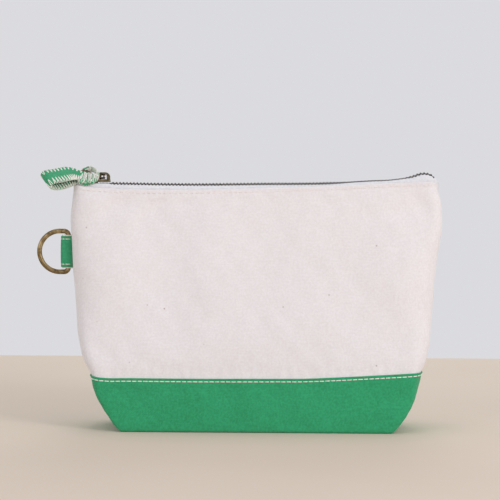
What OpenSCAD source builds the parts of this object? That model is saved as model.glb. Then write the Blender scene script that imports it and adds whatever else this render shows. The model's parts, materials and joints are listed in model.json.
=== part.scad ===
// Canvas zip pouch with boxed corners, a two-layer base, a metal zip and a D-ring on its left side seam.
// Millimetres. The origin is the middle of the flat base, X runs along the zip, -Y is the front, +Z is up.

/* [Bag] */
// Length of the flat base
base_l = 190; // [170:1:200]
// Depth of the flat base, front to back
base_d = 64; // [50:1:70]
// Width over the ends where the boxed corners stop sloping out
hip_w = 223; // [212:1:236]
// Height of that place above the base
hip_h = 31; // [12:1:34]
// Width between the side seams near the top
top_w = 258; // [250:1:266]
// Height of the canvas edge beside the middle of the zip
edge_h = 168.9; // [150:0.1:180]
// Height of the green base layer
green_h = 37; // [28:0.5:45]
// Thickness of one canvas layer
canvas_t = 0.9; // [0.6:0.1:1.2]

/* [Stitching] */
// Distance from one stitch to the next
stitch_pitch = 3.8; // [3:0.1:5]
// Length of one visible stitch
stitch_l = 3.1; // [2:0.1:3.4]
// Thickness of the sewing thread
thread_t = 0.4; // [0.2:0.05:0.6]

/* [Zip] */
// Distance from one tooth to the next on one tape
tooth_pitch = 2.42; // [2.2:0.01:2.8]
// Height of the zip's middle plane above the canvas edge
zip_rise = 3.7; // [3.2:0.1:5]
// Slope of the zip, up towards the right, in degrees
zip_tilt = 1.0; // [0:0.1:1.5]
// Thickness of the zip tape
tape_t = 0.6; // [0.4:0.05:0.7]
// Length of tape and canvas that overlap, down the inside
tape_overlap = 14; // [10:1:18]
// Distance that the slider travels to open the zip
slider_travel = 205; // [150:1:210]

/* [Puller] */
// How far the puller leans over towards the front, in degrees
puller_roll = 35; // [10:1:35]
// Length from the puller's crossbar to the middle of its end bar
puller_reach = 16.7; // [16:0.1:20]
// Width of the puller's wide end
puller_w = 14; // [13:0.1:16]
// Width of the pull strap with its edging
strap_w = 10; // [8:0.1:10]
// Length of the pull strap's loop, from bar to fold
strap_l = 27; // [20:0.5:32]

/* [D-ring] */
// Opening of the D-ring along its straight bar
ring_inner = 25.2; // [24:0.1:26]
// Thickness of the D-ring's wire
ring_wire = 3.4; // [3:0.1:3.6]
// Height of the D-ring's middle above the base
ring_h = 122.5; // [100:0.5:125]
// Length of the tab along the ring's bar
tab_l = 23.4; // [20:0.1:24]

/* [Hidden] */

$fn = 48;

// Colours
natural = [0.89, 0.86, 0.83];
green = [0.2, 0.56, 0.38];
tape_white = [0.88, 0.88, 0.88];
thread_white = [0.95, 0.95, 0.92];
thread_natural = [0.84, 0.8, 0.77];
dark_brass = [0.27, 0.24, 0.16];
brass = [0.5, 0.42, 0.27];

// Bag shape
arc_steps = 7;                   // facets round each end of the front or back
base_row_count = 5;              // rows of facets up the green base
panel_row_count = 9;             // rows of facets up the front and back
top_half_d = 6.9;                // half depth over the canvas at its top edge
end_gap = 0.8;                   // from the middle plane to the front panel at the side seams
panel_gap = 0.3;                 // between the green base's edge and the panels above it
panel_low = green_h + panel_gap; // height where the panels begin
swell = 36;                      // height over which the ends round off above the hips

// Seams
seam_t = 1.0;                    // thickness of the folded seam allowance
seam_w = 8;                      // width of the seam allowance
seam_proud = 0.4;                // how far a side seam stands out past the panels
corner_seam_l = base_d - 12;

// Zip
slider_x = -108.6;               // middle of the slider where it rests with the zip closed
slider_l = 12;
teeth_from = slider_x - 1.8;
teeth_to = slider_x + slider_travel + slider_l / 2 + 11;
tape_half_l = teeth_to + 1;
tape_flat_y = top_half_d - canvas_t - 0.1;  // where the tape turns down inside the canvas
tape_inner_y = 1.2;
bead_w = 0.9;
bead_t = 0.9;
tooth_t = 1.0;
tooth_h = 2.4;
tooth_tip_y = 0.7;               // how far a tooth reaches past the middle
tooth_heel_y = 3.0;              // outer end of the legs that clamp the tape
tooth_root_y = 1.15;             // inner end of the slot for the tape

// Slider, whose own frame has its origin in the middle of the zip's chain
nose_half_w = 4.8;
tail_half_w = 4.1;
channel_h = 2.8;                 // clear height for the teeth
plate_t = 1.1;
lip_w = 0.9;
lip_gap = 1.1;                   // slot at each side for the tape
post_x = [-5, -2.6];
post_half_w = 0.85;
plate_top = channel_h / 2 + plate_t;

// Bridge over the slider's top plate
bridge_w = 1.6;
bridge_x = [-1.5, 6.0];
bridge_h = 4.9;
arch_x = [-0.1, 3.5];
arch_h = 3.5;
bridge_round = 3.4;

// Puller, whose own frame has its origin at the crossbar
crossbar_x = 1.6;
crossbar_h = 2.1;
crossbar_r = 0.5;
plate_puller_t = 1.0;
eye_half_w = 2.6;
eye_hole = [-4.9, -0.5, 1.6];    // from, to, half width
rail_w = 1.5;
end_bar_w = 1.8;
shoulder_x = -12;
web_x = -8.0;

// Pull strap
strap_t = 1.5;
strap_inner_r = 1.35;
edging_w = 0.7;
edging_t = 1.8;

// D-ring and tab
ring_r = (ring_inner + ring_wire) / 2;
ring_bar_x = -131.7;
ring_corner_r = 3;
ring_leg = 2.95;                 // straight stretch from each corner to the round
tab_play = 0.35;                 // clearance between wire and tab
tab_slack = 2.6;                 // how far the tab's fold stands off the bar
backing_t = 0.5;
cover_t = 0.6;
backing_proud = 0.6;             // how far the backing shows past the cover at each end
tab_throat = 0.6;                // half width of the tab's inside at the seam
tab_stitch_inset = 2.2;

function lerp(a, b, t) = a + (b - a) * t;

// Half the length over the ends at height z
function half_length(z) =
    z < hip_h ? lerp(base_l, hip_w, z / hip_h) / 2
              : hip_w / 2 + (top_w - hip_w) / 2 * (1 - exp(-(z - hip_h) / swell));

// Half the depth from front to back at height z
function half_depth(z) =
    top_half_d + (base_d / 2 - top_half_d) * (1 - pow(max(z, 0) / edge_h, 1.3));

// Length of each rounded end at height z: short at the boxed base, longest at mid height
function end_length(z) = 3 + 8 * z / edge_h + 22 * pow(sin(180 * z / edge_h), 2);

// Front half of the outline at height z, left tip to right tip, drawn in by inset
function front_outline(z, inset) = [
    for (side = [-1, 1]) for (k = [0:arc_steps])
        let (a = 90 * (side < 0 ? k : arc_steps - k) / arc_steps)
        let (flat = half_length(z) - end_length(z))
        [side * (flat + (end_length(z) - inset) * cos(a)),
         -(end_gap + (half_depth(z) - inset - end_gap) * sin(a))]];

function reversed(list) = [for (i = [len(list) - 1:-1:0]) list[i]];
function at_height(outline, z) = [for (p = outline) [p.x, p.y, z]];
function rows(from, to, count) = [for (j = [0:count]) lerp(from, to, j / count)];

// Closed outline of the whole bag at height z
function whole_ring(z, inset) =
    let (front = front_outline(z, inset))
    at_height(concat(front, [for (p = reversed(front)) [p.x, -p.y]]), z);

// Rise of a point on the panels, so that their top edge follows the zip's slope
function lifted(p, z) =
    [p.x, p.y, z + p.x * tan(zip_tilt) * (z - panel_low) / (edge_h - panel_low)];

// Cross-section of the front panel at height z: its outer face, then its inner face back again
function panel_ring(z) =
    [for (p = concat(front_outline(z, 0), reversed(front_outline(z, canvas_t)))) lifted(p, z)];

// Two triangles between neighbouring rings at place i. Their shared edge leans the same way whether the
// rings run up or down, so that an inner face and the outer face of the layer inside it match.
function side_faces(rings, r, i) =
    let (n = len(rings[0]), next = (i + 1) % n, a = r * n, b = a + n)
    rings[r + 1][0].z < rings[r][0].z
        ? [[a + i, b + i, a + next], [b + i, b + next, a + next]]
        : [[a + i, b + i, b + next], [a + i, b + next, a + next]];

// Solid through rings of equally many points, closed at its first and last ring
module loft(rings) {
    n = len(rings[0]);
    last = (len(rings) - 1) * n;
    polyhedron(
        points = [for (ring = rings) each ring],
        faces = concat(
            [[for (i = [0:n - 1]) i]],
            [for (r = [0:len(rings) - 2]) for (i = [0:n - 1]) each side_faces(rings, r, i)],
            [[for (i = [n - 1:-1:0]) last + i]]),
        convexity = 6);
}

// One layer of canvas in the shape of a tub, with the given inset at its outer face
module tub(inset) {
    outer = rows(inset, green_h, base_row_count);
    inner = rows(inset + canvas_t, green_h, base_row_count);
    loft(concat(
        [for (z = outer) whole_ring(z, inset)],
        [for (z = reversed(inner)) whole_ring(z, inset + canvas_t)]));
}

// Draws the children in the zip's own frame: X along the chain, origin over the middle of the base
module zip_frame() {
    translate([0, 0, edge_h + zip_rise]) rotate([0, -zip_tilt, 0]) children();
}

module slider_frame() {
    zip_frame() translate([slider_x, 0, 0]) children();
}

module puller_frame_pose() {
    slider_frame() translate([crossbar_x, 0, plate_top + crossbar_h]) rotate([puller_roll, 0, 0])
        children();
}

// Base

module base_canvas() {
    color(green) tub(0);
}

module base_inner_canvas() {
    color(natural) tub(canvas_t);
}

// Seam allowance that stands in the plane between the front and the back
module side_seam() {
    low = rows(3, green_h, base_row_count);
    high = rows(panel_low, edge_h - 1, panel_row_count);
    outer = concat(
        [for (z = low) [half_length(z) - 2 * canvas_t - 0.3, z]],
        [for (z = high) [half_length(z) + seam_proud, z]]);
    inner = [for (z = reversed(concat(low, high))) [half_length(z) - seam_w, z]];
    rotate([90, 0, 0]) linear_extrude(seam_t, center = true) polygon(concat(outer, inner));
}

module left_side_seam() {
    color(natural) mirror([1, 0, 0]) side_seam();
}

module right_side_seam() {
    color(natural) side_seam();
}

// Seam allowance of a boxed corner, folded flat onto the floor of the bag
module corner_seam() {
    translate([base_l / 2 - 2 * canvas_t - seam_w, -corner_seam_l / 2, 2 * canvas_t])
        cube([seam_w - 2, corner_seam_l, seam_t]);
}

module left_corner_seam() {
    color(natural) mirror([1, 0, 0]) corner_seam();
}

module right_corner_seam() {
    color(natural) corner_seam();
}

// Row of stitches along X, centred on the origin, lying against the XZ plane from the front
module stitch_row(length) {
    count = floor(length / stitch_pitch);
    for (i = [0:count - 1])
        translate([(i - (count - 1) / 2) * stitch_pitch - stitch_l / 2, -thread_t, -thread_t / 2])
            cube([stitch_l, thread_t, thread_t]);
}

module base_topstitch() {
    z = green_h - 2.2;
    translate([0, -half_depth(z - thread_t), z])
        stitch_row(2 * (half_length(z) - end_length(z)));
}

module base_front_topstitch() {
    color(thread_white) base_topstitch();
}

module base_back_topstitch() {
    color(thread_white) mirror([0, 1, 0]) base_topstitch();
}

// D-ring tab: a strip folded round the ring's bar, seen from above, ending at the side seam
module tab_outline(r, end_x, end_half) {
    translate([ring_bar_x - tab_slack, 0]) circle(r);
    polygon([
        [ring_bar_x - tab_slack, -r], [ring_bar_x, -r], [end_x, -end_half],
        [end_x, end_half], [ring_bar_x, r], [ring_bar_x - tab_slack, r]]);
}

tab_inner_r = ring_wire / 2 + tab_play;
tab_end_x = -(half_length(ring_h + tab_l / 2) + seam_proud);

module ring_tab_backing() {
    color(natural) translate([0, 0, ring_h])
        linear_extrude(tab_l, center = true) difference() {
            tab_outline(tab_inner_r + backing_t, tab_end_x, backing_t);
            tab_outline(tab_inner_r, ring_bar_x + tab_inner_r + 0.6, tab_throat);
        }
}

module ring_tab_cover() {
    color(green) translate([0, 0, ring_h])
        linear_extrude(tab_l - 2 * backing_proud, center = true) difference() {
            tab_outline(tab_inner_r + backing_t + cover_t, tab_end_x, backing_t + cover_t);
            tab_outline(tab_inner_r + backing_t, tab_end_x, backing_t);
            translate([tab_end_x, -backing_t]) square([1, 2 * backing_t]);
        }
}

// Two rows of two stitches on each face of the tab's straight stretch
module ring_tab_stitches() {
    face_y = tab_inner_r + backing_t + cover_t;
    color(thread_white)
        for (side = [0, 1], end = [-1, 1], place = [-1, 1])
            mirror([0, side, 0])
                translate([ring_bar_x - tab_slack / 2 + place * 0.7 - 0.5, -face_y - thread_t,
                           ring_h + end * (tab_l / 2 - tab_stitch_inset) - thread_t / 2])
                    cube([1.0, thread_t, thread_t]);
}

// Front and back. Everything is drawn for the front and mirrored for the back.

module wall_canvas() {
    loft([for (z = rows(panel_low, edge_h, panel_row_count)) panel_ring(z)]);
}

// Inner face of the front canvas, in the zip's frame, at height z below the chain
function canvas_inner_y(z) = -(half_depth(edge_h + zip_rise + z) - canvas_t - 0.1);

// Tape in section: a bead under the teeth, a flat stretch, and a leg down the inside of the canvas
module wall_tape() {
    half_t = tape_t / 2;
    leg_top = -zip_rise;
    leg_end = -zip_rise - tape_overlap;
    rotate([90, 0, 90]) linear_extrude(2 * tape_half_l, center = true) polygon([
        [-tape_inner_y, bead_t / 2], [-tape_inner_y - bead_w, bead_t / 2],
        [-tape_inner_y - bead_w, half_t], [-tape_flat_y, half_t],
        [canvas_inner_y(leg_top), leg_top], [canvas_inner_y(leg_end), leg_end],
        [canvas_inner_y(leg_end) + tape_t, leg_end], [canvas_inner_y(leg_top) + tape_t, leg_top],
        [-tape_flat_y + tape_t, -half_t], [-tape_inner_y - bead_w, -half_t],
        [-tape_inner_y - bead_w, -bead_t / 2], [-tape_inner_y, -bead_t / 2]]);
}

// One tooth in section across the zip: a head over the middle, and two legs that clamp the bead
module tooth_section() {
    slot = bead_t / 2 + 0.02;
    throat = tape_t / 2 + 0.02;
    heel = -tooth_heel_y;
    bead_end = -tape_inner_y - bead_w - 0.05;
    difference() {
        polygon([
            [tooth_tip_y, -tooth_h / 2 + 0.5], [tooth_tip_y, tooth_h / 2 - 0.5],
            [tooth_tip_y - 0.5, tooth_h / 2], [heel, tooth_h / 2 - 0.2],
            [heel, -tooth_h / 2 + 0.2], [tooth_tip_y - 0.5, -tooth_h / 2]]);
        translate([bead_end, -slot]) square([-tooth_root_y - bead_end, 2 * slot]);
        translate([heel - 1, -throat]) square([bead_end - heel + 1.1, 2 * throat]);
    }
}

module wall_teeth(offset) {
    count = floor((teeth_to - teeth_from - offset) / tooth_pitch);
    for (i = [0:count - 1])
        translate([teeth_from + offset + i * tooth_pitch, 0, 0])
            rotate([90, 0, 90]) linear_extrude(tooth_t) tooth_section();
}

// The tone-on-tone stitches just under the canvas edge
module wall_zip_topstitch() {
    drop = 2.4;
    zip_frame() translate([0, -half_depth(edge_h - drop - thread_t) - 0.05, -zip_rise - drop])
        stitch_row(2 * tape_half_l - 6);
}

module front_canvas() {
    color(natural) wall_canvas();
}

module front_zip_tape() {
    color(tape_white) zip_frame() wall_tape();
}

module front_teeth() {
    color(dark_brass) zip_frame() wall_teeth(0);
}

module front_zip_topstitch() {
    color(thread_natural) wall_zip_topstitch();
}

module back_canvas() {
    color(natural) mirror([0, 1, 0]) wall_canvas();
}

module back_zip_tape() {
    color(tape_white) zip_frame() mirror([0, 1, 0]) wall_tape();
}

module back_teeth() {
    color(dark_brass) zip_frame() mirror([0, 1, 0]) wall_teeth(tooth_pitch / 2);
}

module back_zip_topstitch() {
    color(thread_natural) mirror([0, 1, 0]) wall_zip_topstitch();
}

// Slider

// Plan of the slider drawn in by inset at its sides: wide at the nose, on the left
module slider_plan(inset = 0) {
    nose = nose_half_w - inset;
    tail = tail_half_w - inset;
    half_l = slider_l / 2;
    polygon([
        [-half_l, -nose + 1.6], [-half_l + 1.2, -nose], [-half_l + 4.5, -nose],
        [half_l - 4, -tail], [half_l - 0.8, -tail], [half_l, -tail + 0.8],
        [half_l, tail - 0.8], [half_l - 0.8, tail], [half_l - 4, tail],
        [-half_l + 4.5, nose], [-half_l + 1.2, nose], [-half_l, nose - 1.6]]);
}

// Top plate with its two lips; the bottom plate is its mirror image
module slider_plate() {
    translate([0, 0, channel_h / 2]) linear_extrude(plate_t) slider_plan();
    translate([0, 0, lip_gap / 2]) linear_extrude(channel_h / 2 - lip_gap / 2) difference() {
        slider_plan();
        translate([-1, 0]) slider_plan(lip_w);
        slider_plan(lip_w);
        translate([1, 0]) slider_plan(lip_w);
    }
}

module slider_body() {
    color(dark_brass) slider_frame() {
        slider_plate();
        mirror([0, 0, 1]) slider_plate();
        translate([post_x[0], -post_half_w, -channel_h / 2])
            cube([post_x[1] - post_x[0], 2 * post_half_w, channel_h]);
    }
}

// Side view of the bridge: square at the left, rounded at the right, with a see-through arch
module slider_bridge() {
    color(dark_brass) slider_frame() translate([0, 0, plate_top])
        rotate([90, 0, 0]) linear_extrude(bridge_w, center = true) difference() {
            union() {
                translate([bridge_x[0], 0])
                    square([bridge_x[1] - bridge_x[0] - bridge_round, bridge_h]);
                square([bridge_x[1], bridge_h - bridge_round]);
                translate([bridge_x[1] - bridge_round, bridge_h - bridge_round])
                    circle(bridge_round);
            }
            translate([arch_x[0], -0.01]) square([arch_x[1] - arch_x[0], arch_h - 1]);
            translate([arch_x[0], 1]) square([arch_x[1] - arch_x[0] - 1, arch_h - 1]);
            translate([arch_x[1] - 1, arch_h - 1]) circle(1);
            translate([bridge_x[0] - 1, -10]) square([bridge_x[1] - bridge_x[0] + 2, 10]);
        }
}

// Puller: a flat frame with an eye for the bridge, shoulders, and a window for the strap
module puller_frame() {
    half_w = puller_w / 2;
    end_x = -puller_reach - end_bar_w / 2;
    window_end = -puller_reach + end_bar_w / 2;
    color(brass) puller_frame_pose() {
        linear_extrude(plate_puller_t, center = true) difference() {
            polygon([
                [1.1, -eye_half_w + 0.6], [1.1, eye_half_w - 0.6], [0.5, eye_half_w],
                [web_x + 0.4, eye_half_w], [shoulder_x, half_w], [end_x + 0.8, half_w],
                [end_x, half_w - 0.8], [end_x, -half_w + 0.8], [end_x + 0.8, -half_w],
                [shoulder_x, -half_w], [web_x + 0.4, -eye_half_w], [0.5, -eye_half_w]]);
            translate([eye_hole[0], -eye_hole[2]])
                square([eye_hole[1] - eye_hole[0] + 3, 2 * eye_hole[2]]);
            polygon([
                [web_x - 0.6, -1.2], [web_x - 0.6, 1.2], [shoulder_x - 0.4, half_w - rail_w],
                [window_end, half_w - rail_w], [window_end, -half_w + rail_w],
                [shoulder_x - 0.4, -half_w + rail_w]]);
        }
        rotate([90, 0, 0]) cylinder(h = 2 * eye_half_w - 1, r = crossbar_r, center = true);
    }
}

// Band of the strap's loop in the puller's frame: two flat runs joined by a round fold at each end.
// It is centred at the given place across the strap.
module strap_band(place, width, thickness) {
    middle_r = strap_inner_r + strap_t / 2;
    inner_r = middle_r - thickness / 2;
    run_l = strap_l - middle_r - strap_t / 2;
    puller_frame_pose() translate([-puller_reach, place, 0]) rotate([90, 0, 0]) {
        rotate([0, 0, -90]) strap_fold(inner_r, width, thickness);
        translate([-run_l, 0, 0]) rotate([0, 0, 90]) strap_fold(inner_r, width, thickness);
        for (y = [inner_r, -inner_r - thickness])
            translate([-run_l, y, -width / 2]) cube([run_l, thickness, width]);
    }
}

module strap_fold(inner_r, width, thickness) {
    rotate_extrude(angle = 180) translate([inner_r, -width / 2]) square([thickness, width]);
}

module pull_strap() {
    color(green) strap_band(0, strap_w - 2 * edging_w, strap_t);
}

// Overlock stitching that binds both edges of the strap
module pull_strap_edging() {
    color(thread_white)
        for (side = [-1, 1])
            strap_band(side * (strap_w - edging_w) / 2, edging_w, edging_t);
}

// D-ring, drawn in its own plane with the straight bar along Z

module ring_arc(radius, from, to) {
    rotate([90, 0, 0]) rotate([0, 0, from]) rotate_extrude(angle = to - from)
        translate([radius, 0]) circle(ring_wire / 2);
}

module d_ring() {
    corner_z = ring_r - ring_corner_r;
    corner_x = ring_bar_x - ring_corner_r;
    round_x = corner_x - ring_leg;
    color(brass) translate([0, 0, ring_h]) {
        translate([ring_bar_x, 0, -corner_z]) cylinder(h = 2 * corner_z, r = ring_wire / 2);
        translate([corner_x, 0, corner_z]) ring_arc(ring_corner_r, 0, 90);
        translate([corner_x, 0, -corner_z]) ring_arc(ring_corner_r, 270, 360);
        for (end = [-1, 1])
            translate([round_x, 0, end * ring_r]) rotate([0, 90, 0])
                cylinder(h = ring_leg, r = ring_wire / 2);
        translate([round_x, 0, 0]) ring_arc(ring_r, 90, 270);
    }
}

base_canvas();
base_inner_canvas();
left_side_seam();
right_side_seam();
left_corner_seam();
right_corner_seam();
base_front_topstitch();
base_back_topstitch();
ring_tab_backing();
ring_tab_cover();
ring_tab_stitches();
front_canvas();
front_zip_tape();
front_teeth();
front_zip_topstitch();
back_canvas();
back_zip_tape();
back_teeth();
back_zip_topstitch();
slider_body();
slider_bridge();
puller_frame();
pull_strap();
pull_strap_edging();
d_ring();
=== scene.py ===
"""Looks of the zippered pouch, built round its frame, in metres. X along the zip, -Y the front, +Z up."""

import json
import math

import bpy
import numpy as np
from mathutils import Matrix, Vector


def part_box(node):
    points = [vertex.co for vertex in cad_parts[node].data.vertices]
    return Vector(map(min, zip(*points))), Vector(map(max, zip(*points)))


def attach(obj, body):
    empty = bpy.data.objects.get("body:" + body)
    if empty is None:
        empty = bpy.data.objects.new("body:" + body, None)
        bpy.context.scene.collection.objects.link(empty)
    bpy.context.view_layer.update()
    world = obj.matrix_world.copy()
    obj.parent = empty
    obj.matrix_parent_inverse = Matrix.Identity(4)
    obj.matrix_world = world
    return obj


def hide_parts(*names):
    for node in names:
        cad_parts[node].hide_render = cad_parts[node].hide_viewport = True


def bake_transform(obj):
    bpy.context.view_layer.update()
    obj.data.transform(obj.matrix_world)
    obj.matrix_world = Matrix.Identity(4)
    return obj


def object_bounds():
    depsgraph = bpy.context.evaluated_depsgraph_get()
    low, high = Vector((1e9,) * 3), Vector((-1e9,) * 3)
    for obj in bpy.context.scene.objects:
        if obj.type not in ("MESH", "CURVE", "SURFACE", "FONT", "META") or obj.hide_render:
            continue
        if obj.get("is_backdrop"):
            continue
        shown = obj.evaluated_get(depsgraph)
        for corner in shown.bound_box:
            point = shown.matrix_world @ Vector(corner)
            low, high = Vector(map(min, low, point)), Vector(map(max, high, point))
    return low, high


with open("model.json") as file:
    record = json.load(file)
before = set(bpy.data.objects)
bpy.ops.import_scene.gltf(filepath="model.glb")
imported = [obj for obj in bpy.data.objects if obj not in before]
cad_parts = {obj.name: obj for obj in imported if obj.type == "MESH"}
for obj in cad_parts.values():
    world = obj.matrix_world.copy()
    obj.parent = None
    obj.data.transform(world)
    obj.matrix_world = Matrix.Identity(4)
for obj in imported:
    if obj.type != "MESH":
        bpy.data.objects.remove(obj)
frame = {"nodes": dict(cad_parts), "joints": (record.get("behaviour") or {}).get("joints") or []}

CAD_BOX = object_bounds()
MM = 0.001

# -------- sizes taken from the frame

BASE_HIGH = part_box("base_canvas")[1]
PANEL_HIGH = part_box("front_canvas")[1]
TEETH_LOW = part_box("front_teeth")[0]
SLIDER_LOW, SLIDER_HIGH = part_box("slider_body")
TAB_LOW, TAB_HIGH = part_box("ring_tab_backing")
JOINTS = {joint["name"]: joint for joint in frame["joints"]}

ZIP_SLOPE = JOINTS["slider_travel"]["axis"][2] / JOINTS["slider_travel"]["axis"][0]
SLIDER_X = (SLIDER_LOW.x + SLIDER_HIGH.x) / 2
SLIDER_OPEN_X = SLIDER_X + JOINTS["slider_travel"]["range_m"][1]

GREEN_H = BASE_HIGH.z  # height of the green base layer
BASE_HALF_D = BASE_HIGH.y  # half its depth, front to back
EDGE_H = PANEL_HIGH.z - PANEL_HIGH.x * ZIP_SLOPE  # canvas edge beside the middle of the zip
TOP_HALF_L = PANEL_HIGH.x + 0.4 * MM  # half width near the top
TOP_HALF_D = 7.3 * MM  # half depth over the canvas at its top edge
CLOTH_T = 0.7 * MM
SEAM_GAP = 0.25 * MM  # from the middle plane to a panel at the side seams
SEAM_W = 8 * MM  # seam allowance

STITCH_PITCH = 3.8 * MM
TOOTH_PITCH = 2.42 * MM
ZIP_STITCH_DROP = 2.5 * MM  # from the canvas edge down to its topstitch
BASE_STITCH_DROP = 2.1 * MM  # from the green edge down to its topstitch

# Lines along the zip as (x, height above the CAD's canvas edge) in mm. The chain sags in the middle and
# humps up at the closed end.
CHAIN_LINE = [(-130, 1.4), (-100, 1.2), (-45, 0.8), (0, 1.5), (55, 2.6), (80, 4.2), (94, 4.9),
              (108, 7.2), (116, 9.5), (121, 8.8), (125, 6.0), (129, 1.2)]
EDGE_LINE = [(-130, 0.5), (-118, -0.9), (-100, -1.9), (0, -1.2), (60, 1.2), (115, 3.9), (122, 3.9),
             (130, 1.4)]

# Half widths of the bag as (height, half width) in mm: boxed corners, hips, and slightly uneven sides
LEFT_SIDE = [(0, 93.7), (13, 103.8), (28, 112.2), (37, 114.6), (48, 119.9), (62, 123.6), (90, 126.3),
             (120, 128.7), (152, 129.6), (170, 127.4)]
RIGHT_SIDE = [(0, 95.5), (14, 106.0), (27, 112.0), (37, 114.0), (46, 117.9), (58, 120.8), (80, 123.3),
              (112, 125.5), (150, 129.7), (161, 128.3), (170, 125.3)]


def through(line, x):
    """A smooth curve through the points of a line, at x, all in metres."""
    xs = np.array([p[0] for p in line], float) * MM
    zs = np.array([p[1] for p in line], float) * MM
    slopes = np.gradient(zs, xs)
    x = np.clip(np.asarray(x, float), xs[0], xs[-1])
    i = np.clip(np.searchsorted(xs, x) - 1, 0, len(xs) - 2)
    width = xs[i + 1] - xs[i]
    t = (x - xs[i]) / width
    rest = 1 - t
    return (zs[i] * (1 + 2 * t) * rest**2 + zs[i + 1] * t**2 * (3 - 2 * t)
            + width * (slopes[i] * t * rest**2 - slopes[i + 1] * t**2 * rest))


def smooth(x, low, high):
    """0 below low, 1 above high and a smooth rise between them."""
    t = np.clip((np.asarray(x, float) - low) / (high - low), 0, 1)
    return t * t * (3 - 2 * t)


def bump(x, centre, width):
    """A smooth bump of height 1 round the centre."""
    return np.exp(-(((np.asarray(x, float) - centre) / width) ** 2))


NOISE_WAVES = 9  # waves that a random field is made of


def soft_noise(u, v, size, seed):
    """Smooth random field of about unit height over u and v, with features about as long as size."""
    rng = np.random.default_rng(seed)
    total = np.zeros(np.broadcast(u, v).shape)
    angles = rng.uniform(0, math.pi, NOISE_WAVES)
    scales = rng.uniform(0.6, 1.5, NOISE_WAVES)
    phases = rng.uniform(0, 2 * math.pi, NOISE_WAVES)
    for angle, scale, phase in zip(angles, scales, phases):
        k = 2 * math.pi * scale / size
        total += np.cos(k * (u * math.cos(angle) + v * math.sin(angle)) + phase)
    return total / math.sqrt(NOISE_WAVES / 2)


# -------- shape of the bag

WALL_CURVE = 1.3  # above 1, the walls bow outwards between base and zip
BOX_END_L = 3 * MM  # rounded ends: length at the base,
TOP_END_EXTRA = 8 * MM  # what is added at the top,
MIDDLE_END_EXTRA = 22 * MM  # and at mid height
BOX_POWER, OVAL_POWER = 5.5, 2.5  # nearly square below, close to an ellipse above
BOX_TO_OVAL = (15 * MM, 95 * MM)  # heights between which the one turns into the other


def half_length(z, side):
    """Half the width at height z, on the left (side below 0) or on the right."""
    return np.where(np.asarray(side) < 0, through(LEFT_SIDE, z), through(RIGHT_SIDE, z))


def half_depth(z):
    """Half the depth at height z, between the outer faces of the canvas."""
    z = np.clip(np.asarray(z, float), 0, EDGE_H)
    return TOP_HALF_D + (BASE_HALF_D - TOP_HALF_D) * (1 - (z / EDGE_H) ** WALL_CURVE)


def end_length(z):
    """Length of the rounded ends at height z: short at the boxed base, longest at mid height."""
    t = np.clip(np.asarray(z, float) / EDGE_H, 0, 1)
    return BOX_END_L + TOP_END_EXTRA * t + MIDDLE_END_EXTRA * np.sin(math.pi * t) ** 2


def boxiness(z):
    """Power of the rounded ends: nearly square at the base, close to an ellipse higher up."""
    return OVAL_POWER + (BOX_POWER - OVAL_POWER) * (1 - smooth(z, *BOX_TO_OVAL))


def zip_height(line, x):
    return EDGE_H + through(line, x)


class Outline:
    """Columns of a panel from its left tip to its right tip."""

    def __init__(self, end_columns, middle_columns):
        share = np.sin(np.linspace(0, 1, end_columns) * math.pi / 2) ** 1.6
        across = np.linspace(-1, 1, middle_columns + 2)[1:-1]
        ones = np.ones(end_columns)
        self.flat = np.concatenate([-ones, across, ones])
        self.share = np.concatenate([share, np.ones(middle_columns), share[::-1]])
        self.end = np.concatenate([-ones, np.zeros(middle_columns), ones])

    def at(self, z, inset=0.0):
        """X and (positive) depth at heights z, one for each column. Far insets hardly draw in the ends."""
        end_inset = min(inset, 2 * MM + 0.03 * inset)
        left = half_length(z, -1) - end_length(z)
        right = half_length(z, 1) - end_length(z)
        power = boxiness(z)
        reach = (1 - self.share**power) ** (1 / power)
        x = (right - left) / 2 + self.flat * (right + left) / 2
        x = x + self.end * (end_length(z) - end_inset) * reach
        depth = SEAM_GAP + (half_depth(z) - inset - SEAM_GAP) * self.share
        return x, depth


# -------- mesh helpers

TUBE_START = [0.31, 0.87, 0.39]  # any direction that no thread starts along
THREAD_END = 0.55  # thickness of a thread's ends, as a share of its own


def add_object(name, data):
    obj = bpy.data.objects.new(name, data)
    bpy.context.scene.collection.objects.link(obj)
    return obj


def unit(vectors):
    """The same vectors with a length of 1."""
    return vectors / np.maximum(np.linalg.norm(vectors, axis=-1, keepdims=True), 1e-12)


def grid_faces(rows, columns, closed=False):
    faces = []
    for r in range(rows - 1):
        for c in range(columns if closed else columns - 1):
            d = (c + 1) % columns
            faces.append((r * columns + c, r * columns + d, (r + 1) * columns + d, (r + 1) * columns + c))
    return faces


def end_faces(rows, sides):
    """The faces that close the first and the last of some rings."""
    last = (rows - 1) * sides
    return [tuple(reversed(range(sides))), tuple(range(last, last + sides))]


def normals_of(points, closed=False):
    """Unit normals of a grid of points, rows first: across the columns times up the rows."""
    if closed:
        wide = np.concatenate([points[:, -1:], points, points[:, :1]], axis=1)
        across = np.gradient(wide, axis=1)[:, 1:-1]
    else:
        across = np.gradient(points, axis=1)
    up = np.gradient(points, axis=0)
    return unit(np.cross(across, up))


def make_mesh(name, points, faces, material, slot, uv=None):
    """A new smooth mesh object. uv holds one pair per point, in metres along the cloth."""
    mesh = bpy.data.meshes.new(name)
    mesh.from_pydata(np.asarray(points, float).reshape(-1, 3).tolist(), [], faces)
    mesh.materials.append(material)
    mesh.update()
    mesh.shade_smooth()
    if uv is not None:
        layer = mesh.uv_layers.new(name="cloth")
        corners = np.zeros(len(mesh.loops), int)
        mesh.loops.foreach_get("vertex_index", corners)
        layer.data.foreach_set("uv", np.asarray(uv, float).reshape(-1, 2)[corners].ravel())
    obj = add_object(name, mesh)
    return obj


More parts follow.
